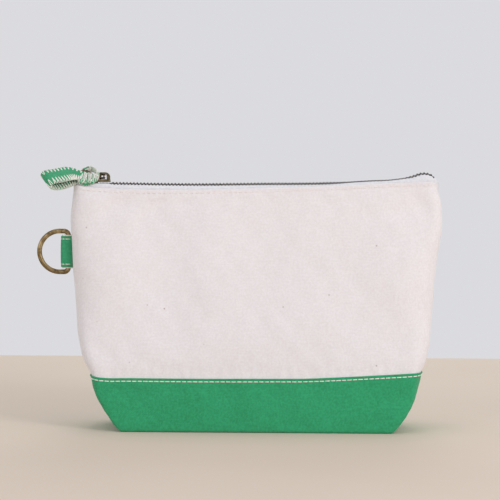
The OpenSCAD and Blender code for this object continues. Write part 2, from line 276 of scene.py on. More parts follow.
def cloth_uv(points):
    """Distances along the columns and up the rows of a grid, as a pair for each point."""
    across = np.linalg.norm(np.diff(points, axis=1), axis=2)
    up = np.linalg.norm(np.diff(points, axis=0), axis=2)
    u = np.concatenate([np.zeros((len(points), 1)), np.cumsum(across, axis=1)], axis=1)
    u -= u[:, u.shape[1] // 2][:, None]
    v = np.concatenate([np.zeros((1, points.shape[1])), np.cumsum(up, axis=0)], axis=0)
    return np.stack([u, v], axis=2)


def make_sheet(name, points, material, slot, thickness, closed=False):
    """Cloth through a grid of points, given a thickness on its inner side. A closed one has a bottom."""
    faces = grid_faces(*points.shape[:2], closed)
    if closed:
        faces += middle_faces(points.shape[1])
    obj = make_mesh(name, points, faces, material, slot, cloth_uv(points))
    thicken(obj, thickness, -1)
    return obj


TIP_COLUMNS = 10  # columns at each tip of a ring that are almost in one place


def middle_faces(columns):
    """Faces across the middle of the bottom, between the front and the back half of the first ring."""
    used = range(TIP_COLUMNS, columns // 2 - 1 - TIP_COLUMNS)
    return [(c + 1, c, columns - 1 - c, columns - 2 - c) for c in used]


def thicken(obj, thickness, offset):
    solid = obj.modifiers.new("cloth_thickness", "SOLIDIFY")
    solid.thickness = thickness
    solid.offset = offset


def tube_mesh(paths, radius, sides):
    """Points and faces of round threads along several paths, narrower and closed at their ends."""
    points, faces = [], []
    ring = np.linspace(0, 2 * math.pi, sides, endpoint=False)
    for path in paths:
        path = np.asarray(path, float)
        along = unit(np.gradient(path, axis=0))
        side = np.cross(along[0], TUBE_START)
        start = len(points)
        for k, (p, direction) in enumerate(zip(path, along)):
            side = unit(side - direction * (side @ direction))
            other = np.cross(direction, side)
            r = radius * (THREAD_END if k in (0, len(path) - 1) else 1.0)
            points.extend(p + r * (math.cos(a) * side + math.sin(a) * other) for a in ring)
        tube = grid_faces(len(path), sides, closed=True) + end_faces(len(path), sides)
        faces.extend(tuple(start + i for i in face) for face in tube)
    return points, faces


def make_threads(name, paths, radius, material, slot, sides=6):
    points, faces = tube_mesh(paths, radius, sides)
    return make_mesh(name, points, faces, material, slot)


def distances(line):
    """How far along a line of points each of them is."""
    return np.concatenate([[0], np.cumsum(np.linalg.norm(np.diff(line, axis=0), axis=1))])


def reading(at, steps, rows):
    """Rows of values that are known at these steps, read at one or more places between them."""
    return np.stack([np.interp(at, steps, column) for column in rows.T], axis=-1)


def stitch_paths(line, outward, pitch, length, sink):
    """Paths of running stitches along a line of points: each dives into the cloth at both its ends."""
    steps = distances(line)
    count = int(steps[-1] / pitch)
    first = (steps[-1] - (count - 1) * pitch) / 2
    rng = np.random.default_rng(count)
    paths = []
    shares = np.array([-1, -0.86, -0.5, 0, 0.5, 0.86, 1])
    dive = (-sink * np.abs(shares) ** 5)[:, None]
    for i in range(count):
        at = first + i * pitch + shares * (length * rng.uniform(0.92, 1.0) / 2)
        paths.append(reading(at, steps, line) + reading(at, steps, outward) * dive)
    return paths


# -------- materials

class Nodes:
    """Short way to write a node tree."""

    def __init__(self, name):
        self.material = bpy.data.materials.new(name)
        self.material.use_nodes = True
        self.tree = self.material.node_tree

    def feed(self, sockets, values):
        """Sets each named socket to its value, or links it to another node's output."""
        for key, value in values.items():
            if isinstance(value, bpy.types.NodeSocket):
                self.tree.links.new(value, sockets[key])
            else:
                sockets[key].default_value = value

    def add(self, kind, inputs, **settings):
        """A new node with its inputs fed. Returns its outputs."""
        node = self.tree.nodes.new("ShaderNode" + kind)
        for key, value in settings.items():
            setattr(node, key, value)
        self.feed(node.inputs, inputs)
        return node.outputs

    def surface(self, inputs):
        """Feeds the surface's own shader. Returns the finished material."""
        self.feed(self.tree.nodes["Principled BSDF"].inputs, inputs)
        return self.material

    def math(self, operation, a, b=0.0):
        return self.add("Math", {0: a, 1: b}, operation=operation)[0]

    def times(self, a, b):
        return self.math("MULTIPLY", a, b)

    def plus(self, a, b):
        return self.math("ADD", a, b)

    def place(self, scale, turn=(0, 0, 0)):
        """Object coordinates, turned by angles in degrees and then stretched along each axis."""
        here = self.add("TexCoord", {})["Object"]
        turned = self.add("Mapping", {"Vector": here, "Rotation": [math.radians(a) for a in turn]})
        return self.add("Mapping", {"Vector": turned["Vector"], "Scale": scale})["Vector"]

    def noise(self, scale, detail=2.0, stretch=(1, 1, 1), roughness=0.5, turn=(0, 0, 0)):
        inputs = {"Scale": scale, "Detail": detail, "Roughness": roughness}
        return self.add("TexNoise", {"Vector": self.place(stretch, turn), **inputs})["Fac"]

    def band(self, value, low, high):
        """0 to 1 as value goes from low to high, clamped."""
        return self.add("MapRange", {"Value": value, "From Min": low, "From Max": high})["Result"]

    def mix(self, share, a, b):
        return self.add("Mix", {"Factor": share, "A": a, "B": b}, data_type="RGBA")["Result"]

    def weave(self, thread):
        """Height of a plain weave whose threads are this far apart, along the cloth's own map."""
        spot = self.add("SeparateXYZ", {"Vector": self.add("UVMap", {}, uv_map="cloth")["UV"]})
        wobble = self.times(self.noise(180, 2.0), 0.6 * thread)
        turns = [self.times(self.plus(spot[axis], wobble), math.pi / thread) for axis in ("X", "Y")]
        return self.times(self.math("SINE", turns[0]), self.math("SINE", turns[1]))

    def flecks(self):
        """1 in a few small specks, each of another strength, and 0 elsewhere."""
        spots = self.add("TexVoronoi", {"Vector": self.place((1, 1, 1)), "Scale": 95, "Randomness": 1.0})
        near = self.band(spots["Distance"], 0.075, 0.03)
        chosen = self.add("SeparateColor", {"Color": spots["Color"]})
        rare = self.band(chosen["Red"], 0.35, 1.0)
        return self.times(near, self.times(rare, 0.8))

    def bumped(self, height, strength, distance):
        return self.add("Bump", {"Height": height, "Strength": strength, "Distance": distance})["Normal"]


def colour(red, green, blue):
    """A colour given as 0 to 255 on the screen, as the shader wants it."""
    def linear(c):
        c /= 255
        return c / 12.92 if c <= 0.04045 else ((c + 0.055) / 1.055) ** 2.4
    return (linear(red), linear(green), linear(blue), 1.0)


def cloth_material(name, main, shade, fleck=None, thread=0.5 * MM, relief=0.22 * MM, sheen=0.25):
    """Woven cotton: two tones of yarn, uneven threads both ways, soft blotches and a few dark flecks."""
    n = Nodes(name)
    warp = n.noise(1.0, 3.0, (2600, 2600, 90))
    weft = n.noise(1.0, 3.0, (90, 90, 2600))
    yarn = n.plus(n.times(warp, 0.5), n.times(weft, 0.5))
    blotch = n.noise(26, 3.0)
    grain = n.noise(680, 2.0)
    tone = n.times(n.band(yarn, 0.34, 0.66), 0.35)
    tone = n.plus(tone, n.times(n.band(blotch, 0.3, 0.7), 0.2))
    tone = n.plus(tone, n.times(n.band(grain, 0.35, 0.65), 0.45))
    base = n.mix(tone, shade, main)
    if fleck:
        base = n.mix(n.flecks(), base, fleck)
    fuzz = n.noise(1500, 3.0)
    height = n.plus(n.times(n.weave(thread), 0.55), n.times(fuzz, 0.6))
    height = n.plus(height, n.times(yarn, 0.8))
    return n.surface({
        "Base Color": base,
        "Roughness": n.plus(n.times(fuzz, 0.12), 0.82),
        "Normal": n.bumped(height, 0.55, relief),
        "Sheen Weight": sheen,
        "Sheen Roughness": 0.6,
        "Specular IOR Level": 0.25,
    })


def thread_material(name, main, shade):
    """Spun thread: fine twist, with painted shade that darkens its low grooves."""
    n = Nodes(name)
    twist_and_groove_shade = n.noise(1400, 2.0)
    return n.surface({
        # painted shade: where the twist's bump dips, the colour turns to the darker tone
        "Base Color": n.mix(n.band(twist_and_groove_shade, 0.3, 0.62), shade, main),
        "Roughness": n.plus(n.times(twist_and_groove_shade, 0.2), 0.6),
        "Normal": n.bumped(twist_and_groove_shade, 0.5, 0.15 * MM),
        "Sheen Weight": 0.2,
    })


def metal_material(name, main, worn, dark, streak=(1, 1, 1), turn=(0, 0, 0), rough=0.34):
    """Antiqued metal: a dark patina with rubbed brighter streaks and uneven gloss."""
    n = Nodes(name)
    rubbed = n.noise(260, 4.0, streak, 0.6, turn)
    patina = n.noise(420, 3.0)
    fine = n.noise(1300, 3.0, streak, 0.5, turn)
    base = n.mix(n.band(rubbed, 0.42, 0.66), main, worn)
    return n.surface({
        "Base Color": n.mix(n.times(n.band(patina, 0.52, 0.7), 0.7), base, dark),
        "Roughness": n.plus(n.times(patina, 0.3), rough - 0.12),
        "Normal": n.bumped(fine, 0.35, 0.08 * MM),
        "Metallic": 0.85,
    })


def stage_material(name, main, shade, scale):
    n = Nodes(name)
    base = n.mix(n.noise(scale, 2.0), main, shade)
    return n.surface({"Base Color": base, "Roughness": 0.8, "Specular IOR Level": 0.2})


SEED_FLECK = colour(150, 128, 112)  # bits of cotton seed in undyed canvas
CANVAS = cloth_material("natural_canvas_cloth", colour(231, 227, 229), colour(217, 211, 212), SEED_FLECK)
LINING = cloth_material("lining_canvas_cloth", colour(228, 222, 220), colour(212, 204, 202), SEED_FLECK)
GREEN = cloth_material("green_canvas_cloth", colour(48, 160, 110), colour(30, 132, 84),
                       thread=0.55 * MM, sheen=0.12)
TAB_GREEN = cloth_material("green_tape_cloth", colour(62, 162, 116), colour(40, 138, 92),
                           thread=0.45 * MM, sheen=0.12)
TAPE = cloth_material("zip_tape_cloth", colour(226, 226, 229), colour(206, 206, 211),
                      thread=0.35 * MM, relief=0.12 * MM)
CREAM = cloth_material("cream_tape_cloth", colour(240, 228, 216), colour(224, 210, 197), thread=0.4 * MM)
WHITE_THREAD = thread_material("white_thread_yarn", colour(240, 238, 230), colour(196, 200, 188))
NATURAL_THREAD = thread_material("natural_thread_yarn", colour(238, 228, 224), colour(205, 190, 182))
TOOTH_METAL = metal_material("zip_teeth_brass", colour(57, 47, 39), colour(94, 80, 66), colour(33, 27, 22),
                             rough=0.5)
SLIDER_METAL = metal_material("slider_brass", colour(84, 78, 58), colour(128, 118, 92), colour(44, 42, 30))
PULLER_METAL = metal_material("puller_brass", colour(112, 92, 74), colour(150, 128, 104), colour(70, 56, 46))
RING_METAL = metal_material("ring_brass", colour(124, 104, 70), colour(176, 154, 116), colour(66, 54, 34),
                            streak=(1, 1, 0.15), turn=(0, 38, 0), rough=0.42)


# -------- how far cloth would open with the zip

WALL_LOW, WALL_HIGH = GREEN_H, 122 * MM  # between these heights a wall's opening weight rises to full
MOUTH_FROM = -TOP_HALF_L + 0.5 * MM
MOUTH_TO = SLIDER_OPEN_X - 5 * MM


def mouth_share(x):
    """How far the walls part at x when the zip is open: not at the seams, and most in the middle."""
    t = np.clip((np.asarray(x, float) - MOUTH_FROM) / (MOUTH_TO - MOUTH_FROM), 0, 1)
    return np.sin(math.pi * t) ** 1.3


def opens_with(obj, centres=None):
    """Bakes a piece's transform and works out how far each vertex would open with a wall; nothing uses these
    weights. centres gives each vertex the place that its weight is worked out from.
    """
    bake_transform(obj)
    places = np.array([v.co for v in obj.data.vertices]) if centres is None else np.asarray(centres)
    weights = smooth(places[:, 2], WALL_LOW, WALL_HIGH) * mouth_share(places[:, 0])


# -------- front and back panels

PANEL_COLUMNS = Outline(26, 300)
PANEL_ROWS = 66
ROW_CROWDING = 0.11 / 1.4  # how much closer together the rows lie at both ends
HEM_RADIUS = 0.6 * MM
HEM_DEPTH = 8 * MM
PANEL_START_H = GREEN_H - 4 * MM  # the panel's lower edge, tucked behind the green layer
TUCK_DEPTH = 0.85 * MM

# Soft dents as (x, height, length, width, lean in degrees, depth), in mm
FRONT_DENTS = [(-98, 155, 17, 6, 35, 1.5), (-72, 154, 15, 5, 40, 1.1), (-84, 149, 22, 6, 38, -1.0),
               (-112, 153, 10, 16, 0, -0.7), (-50, 158, 14, 5, 40, 0.7), (114, 158, 12, 5, -50, 1.0),
               (96, 153, 22, 6, 8, 0.9), (62, 160, 16, 5, 20, 0.5), (-72, 46, 12, 5, -20, 0.8),
               (-108, 56, 10, 6, -40, 0.7), (-30, 120, 60, 22, 20, 1.1), (58, 98, 46, 20, -25, 1.1),
               (-80, 86, 42, 16, 60, 0.9), (100, 62, 24, 10, 55, 0.7), (12, 64, 50, 14, 5, -0.9)]
BACK_DENTS = [(-92, 152, 18, 6, -35, 1.3), (-40, 156, 14, 5, -30, 0.8), (84, 154, 20, 6, 35, 1.3),
              (110, 142, 12, 8, 60, 0.9), (30, 112, 60, 22, -15, 1.2), (-66, 92, 46, 18, 30, 1.0),
              (70, 54, 20, 8, 20, 0.8), (-100, 58, 16, 7, 40, 0.8)]
BASE_DENTS = [(-88, 28, 17, 3.5, -3, 1.1), (92, 24, 14, 4, 10, 0.6), (-20, 14, 40, 8, 0, -0.4)]


def dented(x, z, dents):
    """Outward offset of the cloth at (x, z) from a list of dents."""
    total = np.zeros(np.broadcast(x, z).shape)
    for cx, cz, length, width, lean, depth in dents:
        c, s = math.cos(math.radians(lean)), math.sin(math.radians(lean))
        along = ((x - cx * MM) * c + (z - cz * MM) * s) / (length * MM)
        across = (-(x - cx * MM) * s + (z - cz * MM) * c) / (width * MM)
        total -= depth * MM * np.exp(-(along**2) - across**2)
    return total


def panel_heights(x_at_top):
    """Heights of the panel's rows above each column, close together at the zip and at the base seam."""
    t = np.linspace(0, 1, PANEL_ROWS)
    t = t - ROW_CROWDING * np.sin(2 * math.pi * t)
    top = zip_height(EDGE_LINE, x_at_top) - HEM_RADIUS
    return PANEL_START_H + (top[None, :] - PANEL_START_H) * t[:, None]


def panel_points(dents, seed):
    """Grid of the outer face of the front panel, from behind the green edge up and over the folded hem."""
    tip_x, _ = PANEL_COLUMNS.at(EDGE_H)
    z = panel_heights(tip_x)
    x, depth = PANEL_COLUMNS.at(z)
    points = np.stack([x, -depth, z], axis=2)
    below = zip_height(EDGE_LINE, x) - z
    above = z - green_edge(x)
    free = smooth(above, 0, 16 * MM) * smooth(below, 0, 10 * MM)
    ends = smooth(1 - np.abs(x) / half_length(z, np.sign(x)), 0, 0.10)
    offset = dented(x, z, dents) * free
    # wide waves that die out at the ends, and smaller ones
    offset += 0.55 * MM * soft_noise(x, z, 70 * MM, seed) * free * ends
    offset += 0.12 * MM * soft_noise(x, z, 18 * MM, seed + 1) * free
    # the topstitch draws the hem in, most at each stitch
    phase = 2 * math.pi * x / STITCH_PITCH
    pinch = bump(below, ZIP_STITCH_DROP, 0.9 * MM)
    offset -= (0.16 + 0.13 * np.cos(phase)) * MM * pinch * smooth(below, 0.2 * MM, 1.2 * MM)
    # puckers above the base seam, and the tuck behind the green layer
    pucker = bump(above, 3 * MM, 4 * MM)
    offset += 0.16 * MM * soft_noise(x, z * 0.3, 9 * MM, seed + 2) * pucker
    offset -= TUCK_DEPTH * (1 - smooth(above, 1 * MM, 13 * MM))
    return over_hem(points + normals_of(points) * offset[:, :, None])


def rolled(edge, outwards, radius, degrees):
    """Rows that turn an upper edge over inwards, round a small radius, at these angles."""
    centre = edge - outwards * radius
    return [centre + radius * (math.cos(a) * outwards + math.sin(a) * np.array([0, 0, 1.0]))
            for a in np.radians(degrees)]


def over_hem(points):
    """Adds rows that fold the top edge inwards and run a short way down the inside, clear of the seams."""
    rows = rolled(points[-1], np.array([0.0, -1.0, 0.0]), HEM_RADIUS, (30, 60, 90, 120, 150, 180))
    down = [rows[-1] - np.array([0, 0, d]) for d in np.array([0.25, 0.6, 1.0]) * HEM_DEPTH]
    folded = np.array(rows + down)
    folded[:, :, 1] = np.minimum(folded[:, :, 1], -SEAM_GAP - 0.2 * MM)
    return np.concatenate([points, folded])


def canvas_inner_y(x):
    """Positive distance from the middle plane to the inside of the folded hem at x."""
    top = PANEL_COLUMNS.at(EDGE_H)
    return np.interp(x, top[0], top[1]) - 2 * HEM_RADIUS - CLOTH_T * 0.5


def mirrored(points):
    """The same grid on the back, with its columns in the other order so that it still faces outwards."""
    return (points * np.array([1, -1, 1]))[:, ::-1]


def make_panel(name, points, node):
    panel = make_sheet(name, points, CANVAS, "natural_canvas", CLOTH_T)
    opens_with(panel)
    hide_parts(node)


def make_zip_stitches(name, points, node):
    """Tone-on-tone topstitch along the hem, laid on the panel's own surface."""
    rows = points[:PANEL_ROWS]
    below = zip_height(EDGE_LINE, rows[:, :, 0]) - rows[:, :, 2]
    columns = np.arange(rows.shape[1])
    row = np.argmin(np.abs(below - ZIP_STITCH_DROP), axis=0)
    line = rows[row, columns]
    line[:, 2] = zip_height(EDGE_LINE, line[:, 0]) - ZIP_STITCH_DROP
    keep = np.abs(line[:, 0]) < TOP_HALF_L - 6 * MM
    out = normals_of(rows)[row, columns][keep]
    paths = stitch_paths(line[keep] + out * 0.1 * MM, out, STITCH_PITCH, 3.1 * MM, 0.35 * MM)
    stitches = make_threads(name, paths, 0.2 * MM, NATURAL_THREAD, "natural_thread")
    # each stitch is given the place of its own middle
    sides = len(stitches.data.vertices) // sum(len(p) for p in paths)
    middles = [np.repeat([np.mean(p, axis=0)], len(p) * sides, axis=0) for p in paths]
    opens_with(stitches, np.concatenate(middles))
    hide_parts(node)


# -------- green base

BASE_COLUMNS = Outline(26, 150)
BASE_ROWS = 26
FLOOR_INSETS = (31.5, 27, 20, 12, 6, 2.6)  # of the bottom's level rings from the edge, in mm
EDGE_ANGLES = (0, 30, 60, 90)  # round the edge of the bottom
BASE_EDGE_RADIUS = 2.0 * MM
# Rows of the bottom, its rounded edge and the wall, without the folded edge
STITCHED_ROWS = len(FLOOR_INSETS) + len(EDGE_ANGLES) + BASE_ROWS - 1
BASE_HEM_RADIUS = 0.55 * MM


def green_edge(x):
    """Height of the green layer's folded edge: uneven, and higher towards the right end."""
    wave = 0.25 * np.sin(x / (31 * MM))
    wave += 1.2 * bump(x, -118 * MM, 8 * MM) - 0.3 * bump(x, -100 * MM, 9 * MM)
    return GREEN_H + MM * (wave + 4.6 * np.clip((x - 30 * MM) / (80 * MM), 0, 1.1) ** 1.3)


def ring_of(z, inset=0.0):
    """Closed ring round the bag: the front from left to right, then the back from right to left."""
    x, depth = BASE_COLUMNS.at(z, inset)
    front = np.stack([x, -depth, z * np.ones_like(x)], axis=1)
    back = (front * np.array([1, -1, 1]))[::-1]
    return np.concatenate([front, back])


def bottom_rings(z, insets):
    """Level rings from the middle of the bottom outwards."""
    return [ring_of(np.full(len(BASE_COLUMNS.flat), z), inset * MM) for inset in insets]


def base_points():
    """Rings from the middle of the bottom out to its edge, up the walls and over the folded edge."""
    rings = bottom_rings(0.0, FLOOR_INSETS)
    level = np.ones(len(BASE_COLUMNS.flat))
    for a in np.radians(EDGE_ANGLES):
        z = BASE_EDGE_RADIUS * (1 - math.cos(a))
        rings.append(ring_of(z * level, BASE_EDGE_RADIUS * (1 - math.sin(a))))
    walls = len(rings)
    x_top, _ = BASE_COLUMNS.at(GREEN_H * level)
    top = green_edge(x_top) - BASE_HEM_RADIUS
    for t in np.linspace(0, 1, BASE_ROWS)[1:]:
        rings.append(ring_of(BASE_EDGE_RADIUS + (top - BASE_EDGE_RADIUS) * t))
    points = np.array(rings)
    x, y, z = points[:, :, 0], points[:, :, 1], points[:, :, 2]
    edge = green_edge(x) - z
    on_wall = smooth(z, 1 * MM, 8 * MM)
    free = on_wall * smooth(edge, 0, 6 * MM)
    # wide and small waves of the cloth, and its dents in front
    offset = 0.35 * MM * soft_noise(x + 3 * y, z, 34 * MM, 31) * free
    offset += 0.10 * MM * soft_noise(x + 2 * y, z, 9 * MM, 32) * on_wall
    offset += dented(x, z, BASE_DENTS) * free * (y < 0)
    # the side seam and the topstitch draw it in, and the folded edge is thicker
    offset -= 0.5 * MM * bump(y, 0, 1.1 * MM) * (np.abs(x) > 90 * MM) * on_wall
    offset -= 0.22 * MM * bump(edge, BASE_STITCH_DROP, 0.9 * MM)
    offset += 0.28 * MM * smooth(-edge, -3 * MM, 0) * on_wall
    points = points + normals_of(points, closed=True) * offset[:, :, None]
    points[:walls, :, 2] = np.maximum(points[:walls, :, 2], 0)
    return fold_ring_in(points)


def fold_ring_in(points):
    """Turns the top ring inwards round a small radius."""
    normal = normals_of(points, closed=True)[-1]
    outwards = unit(normal * np.array([1, 1, 0]))
    return np.concatenate([points, rolled(points[-1], outwards, BASE_HEM_RADIUS, (35, 70, 105, 140))])


def make_base():
    points = base_points()
    shell = make_sheet("green_base", points, GREEN, "green_canvas", CLOTH_T, closed=True)
    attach(shell, "pouch")
    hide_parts("base_canvas")
    return points


def make_base_stitches(points):
    """White topstitch just under the green edge, front and back."""
    rows = points[:STITCHED_ROWS]
    normal = normals_of(rows, closed=True)
    columns = len(BASE_COLUMNS.flat)
    for side, start in (("front", 0), ("back", columns)):
        half = slice(start, start + columns)
        wall = rows[len(FLOOR_INSETS):, half]
        below_edge = normal[-4, half]  # the way that the cloth faces a few rows below its edge
        target = green_edge(wall[-1, :, 0]) - BASE_STITCH_DROP
        line, out = [], []
        for c in range(1, columns - 1):
            line.append(reading(target[c], wall[:, c, 2], wall[:, c]))
            out.append(below_edge[c])
        line, out = np.array(line), np.array(out)
        paths = stitch_paths(line + out * 0.18 * MM, out, STITCH_PITCH, 3.25 * MM, 0.5 * MM)
        stitches = make_threads(f"base_{side}_stitches", paths, 0.36 * MM, WHITE_THREAD, "white_thread", 8)
        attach(stitches, "pouch")
        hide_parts(f"base_{side}_topstitch")


def make_lining():
    """The natural canvas layer inside the base."""
    floor, inset = 1.0 * MM, 1.7 * MM
    rings = bottom_rings(floor, (31.2, 25.7, 16.7, 8.7, 3.7))
    for z in np.linspace(floor, GREEN_H - 0.6 * MM, 14):
        rings.append(ring_of(np.full(len(BASE_COLUMNS.flat), z), inset))
    lining = make_sheet("base_lining", np.array(rings), LINING, "natural_canvas", 0.6 * MM, closed=True)
    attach(lining, "pouch")
    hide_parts("base_inner_canvas")


# -------- seam allowances inside

OVERLOCK_PITCH = 2.2 * MM


def make_seam(side, kind, edge):
    """A folded seam allowance: a strip inwards from an edge line, with overlock along its free edge."""
    node = f"{side}_{kind}_seam"
    name = node + "_allowance"
    inwards = np.array([1.0 if side == "left" else -1.0, 0.0, 0.0])
    shares = np.linspace(0, 1, 7)
    ripple = 0.35 * MM * soft_noise(np.arange(len(edge)) * 1.0, 0.0, 14, 51)
    sideways = unit(np.cross(np.gradient(edge, axis=0), inwards))
    points = edge[:, None] + inwards * (shares[None, :, None] * SEAM_W)
    points += sideways[:, None] * (ripple[:, None] * shares[None, :] ** 2)[:, :, None]
    faces = grid_faces(*points.shape[:2])
    strip = make_mesh(name, points, faces, LINING, "natural_canvas", cloth_uv(points))
    thicken(strip, 1.0 * MM, 0)
    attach(strip, "pouch")
    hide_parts(node)
    path = seam_overlock(points[:, -1], sideways, inwards)
    overlock = make_threads(name + "_overlock", [path], 0.22 * MM, NATURAL_THREAD, "natural_thread")
    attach(overlock, "pouch")


def seam_overlock(free, sideways, inwards):
    """A thread that goes over and under a free edge, with every other turn reaching back into the cloth."""
    steps = distances(free)
    count = 2 * int(steps[-1] / OVERLOCK_PITCH)
    path = []
    for i in range(count):
        at = steps[-1] * (i + 0.5) / count
        face = 0.65 * MM if i % 2 else -0.65 * MM
        back = OVERLOCK_PITCH if i % 4 == 1 else 0.1 * MM
        path.append(reading(at, steps, free) + reading(at, steps, sideways) * face - inwards * back)
    return path


def make_side_seams():
    z = np.linspace(3 * MM, EDGE_H - 4 * MM, 60)
    for side, sign in (("left", -1), ("right", 1)):
        tip = half_length(z, sign) - np.where(z < GREEN_H, 2.6 * MM, 0.6 * MM)
        make_seam(side, "side", np.stack([sign * tip, np.zeros_like(z), z], axis=1))


def make_corner_seams():
    y = np.linspace(-26 * MM, 26 * MM, 24)
    for side, sign in (("left", -1), ("right", 1)):
        x = np.full_like(y, sign * (half_length(0, sign) - 3 * MM))
        make_seam(side, "corner", np.stack([x, y, np.full_like(y, 2.4 * MM)], axis=1))


# -------- zip

TAPE_T = 0.5 * MM
TAPE_SINK = 0.1 * MM  # how far below the middle of the teeth the tape lies
# How far the chain leans towards the front, as (x, degrees)
CHAIN_TILTS = [(-103.2, 0), (-101.5, 14), (50, 15), (66, 5), (103, 5), (110, 13)]
CHAIN_FROM = TEETH_LOW.x
CHAIN_TO = 124.6 * MM
TOOTH_H = 1.4 * MM
TOOTH_W = 1.2 * MM


def at_slider(x):
    """1 where the slider rests, closed or open, and the tapes have to lie flat. Elsewhere 0."""
    nearest = min(abs(x - SLIDER_X), abs(x - SLIDER_OPEN_X))
    return 1 - float(smooth(nearest, 6.2 * MM, 9.5 * MM))


def chain_frame(x):
    """Middle of the chain at x, with its directions along the zip, across it and up."""
    z = zip_height(CHAIN_LINE, x)
    ahead = zip_height(CHAIN_LINE, x + 0.5 * MM) - zip_height(CHAIN_LINE, x - 0.5 * MM)
    along = unit(np.array([1 * MM, 0, float(ahead)]))
    tilt = math.radians(np.interp(x / MM, *zip(*CHAIN_TILTS)))
    across = np.array([0, math.cos(tilt), math.sin(tilt)])
    return np.array([x, 0, float(z)]), along, across, unit(np.cross(along, across))


def tooth_block(x, side):
    """Points and faces of one tooth: a rounded head past the middle and a shoulder that clamps the tape."""
    middle, along, across, up = chain_frame(x)
    # (reach across the zip in mm, share of the height, share of the width) from the heel to the tip
    stations = [(3.0, 0.55, 0.70), (2.75, 0.92, 0.96), (1.5, 1.0, 1.0), (0.5, 1.0, 0.98),
                (0.1, 0.8, 0.72), (-0.5, 0.8, 0.72), (-0.85, 0.45, 0.5)]
    corner = [(-1, -0.55), (-0.72, -1), (0.72, -1), (1, -0.55), (1, 0.55), (0.72, 1), (-0.72, 1),
              (-1, 0.55)]
    points = []
    for reach, tall, wide in stations:
        for cx, cz in corner:
            points.append(middle + across * side * reach * MM + along * cx * wide * TOOTH_W / 2
                          + up * cz * tall * TOOTH_H / 2)
    sides = len(corner)
    faces = grid_faces(len(stations), sides, closed=True) + end_faces(len(stations), sides)
    if side < 0:
        faces = [tuple(reversed(f)) for f in faces]
    return points, faces


def make_teeth(name, node, side, shift):
    count = int((CHAIN_TO - CHAIN_FROM - shift) / TOOTH_PITCH)
    points, faces, centres = [], [], []
    for i in range(count):
        x = CHAIN_FROM + shift + (i + 0.5) * TOOTH_PITCH
        block, sides = tooth_block(x, side)
        faces.extend(tuple(len(points) + k for k in f) for f in sides)
        points.extend(block)
        centres.extend([[x, 0, EDGE_H]] * len(block))  # one place for the whole tooth
    teeth = make_mesh(name, points, faces, TOOTH_METAL, "dark_brass")
    teeth.data.shade_flat()
    opens_with(teeth, centres)
    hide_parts(node)


def tape_points(side):
    """Grid of a zip tape: out from under the teeth, rounded over, and down the inside of the canvas."""
    xs = np.linspace(-TOP_HALF_L + 1.8 * MM, TOP_HALF_L - 1.8 * MM, 170)
    rows = []
    for x in xs:
        middle, _, across, up = chain_frame(x)
        edge = float(zip_height(EDGE_LINE, x)) - 0.3 * MM
        inner = max(float(canvas_inner_y(x)) - TAPE_T, 0.6 * MM)
        reach = min((3.1 + 1.6 * at_slider(x)) * MM, 0.8 * inner)
        middle -= up * TAPE_SINK * (1 - at_slider(x))
        section = [middle + across * side * share * reach for share in (0.2, 0.55, 1.0)]
        start, end = section[-1], np.array([x, side * inner, edge])
        for a in np.linspace(0, math.pi / 2, 8)[1:]:
            section.append(np.array([x, start[1] + (end[1] - start[1]) * math.sin(a),
                                     end[2] + (start[2] - end[2]) * math.cos(a)]))
        for drop in (3 * MM, 7 * MM, 13 * MM):
            section.append(end + np.array([0, 0.02 * side * drop, -drop]))
        rows.append(section)
    points = np.array(rows).transpose(1, 0, 2)
    # the rounded edge is slightly uneven
    points[3:10, :, 1] += 0.1 * MM * soft_noise(points[3:10, :, 0], points[3:10, :, 2], 11 * MM, 71)
    return points


def make_tape(name, node, side):
    points = tape_points(side)
    points = points if side < 0 else points[:, ::-1]
    tape = make_mesh(name, points, grid_faces(*points.shape[:2]), TAPE, "zip_tape", cloth_uv(points))
    thicken(tape, TAPE_T, 0)
    opens_with(tape)
    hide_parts(node)


# CAD nodes that are kept, with their material, slot and the radius of their rounded edges
METAL_NODES = [
    ("slider_body", SLIDER_METAL, "dark_brass", 0.3 * MM),
    ("slider_bridge", SLIDER_METAL, "dark_brass", 0.35 * MM),
    ("puller_frame", PULLER_METAL, "antique_brass", 0.3 * MM),
    ("d_ring", RING_METAL, "antique_brass", 0),
]


def polish(node, material, slot, radius):
    """Gives a metal node its material, and rounds its edges if it has sharp ones."""
    obj = frame["nodes"][node]
    obj.data.materials.clear()
    obj.data.materials.append(material)
    if radius:
        weld = obj.modifiers.new("weld", "WELD")
        weld.merge_threshold = 0.002 * MM
        edges = obj.modifiers.new("rounded_edges", "BEVEL")
        edges.width = radius
        edges.segments = 3
        edges.limit_method = "ANGLE"
        edges.angle_limit = math.radians(32)


# -------- pull strap

LOOP_PIVOT = np.array(JOINTS["loop_swing"]["pos_m"])
STRAP_T = 1.2 * MM
STRAP_FROM_X = LOOP_PIVOT[0] + 8.6 * MM  # right end of the loop, inside the hitch
STRAP_HALF_W = (4.3 * MM, 6.6 * MM)  # half width in the hitch and beyond it
STRAP_SHIFT = 1.2 * MM  # towards the front, in the hitch
STRAP_L = 36 * MM  # along the loop, from its right end to its fold
STRAP_ROLL = math.radians(38)  # lean of the strap towards the front
STRAP_YAW = math.radians(44)  # how far the free end swings towards the front
STRAP_STEPS = 120
EDGE_THREAD = 0.3 * MM
# Overlock along an edge of the strap: (side, turns of thread, how near the middle the tips come,
# how much closer the turns lie at the puller than at the fold)
STRAP_OVERLOCK = [(-1, 27, 0.5, 0.0), (1, 37, 0.25, 0.25)]


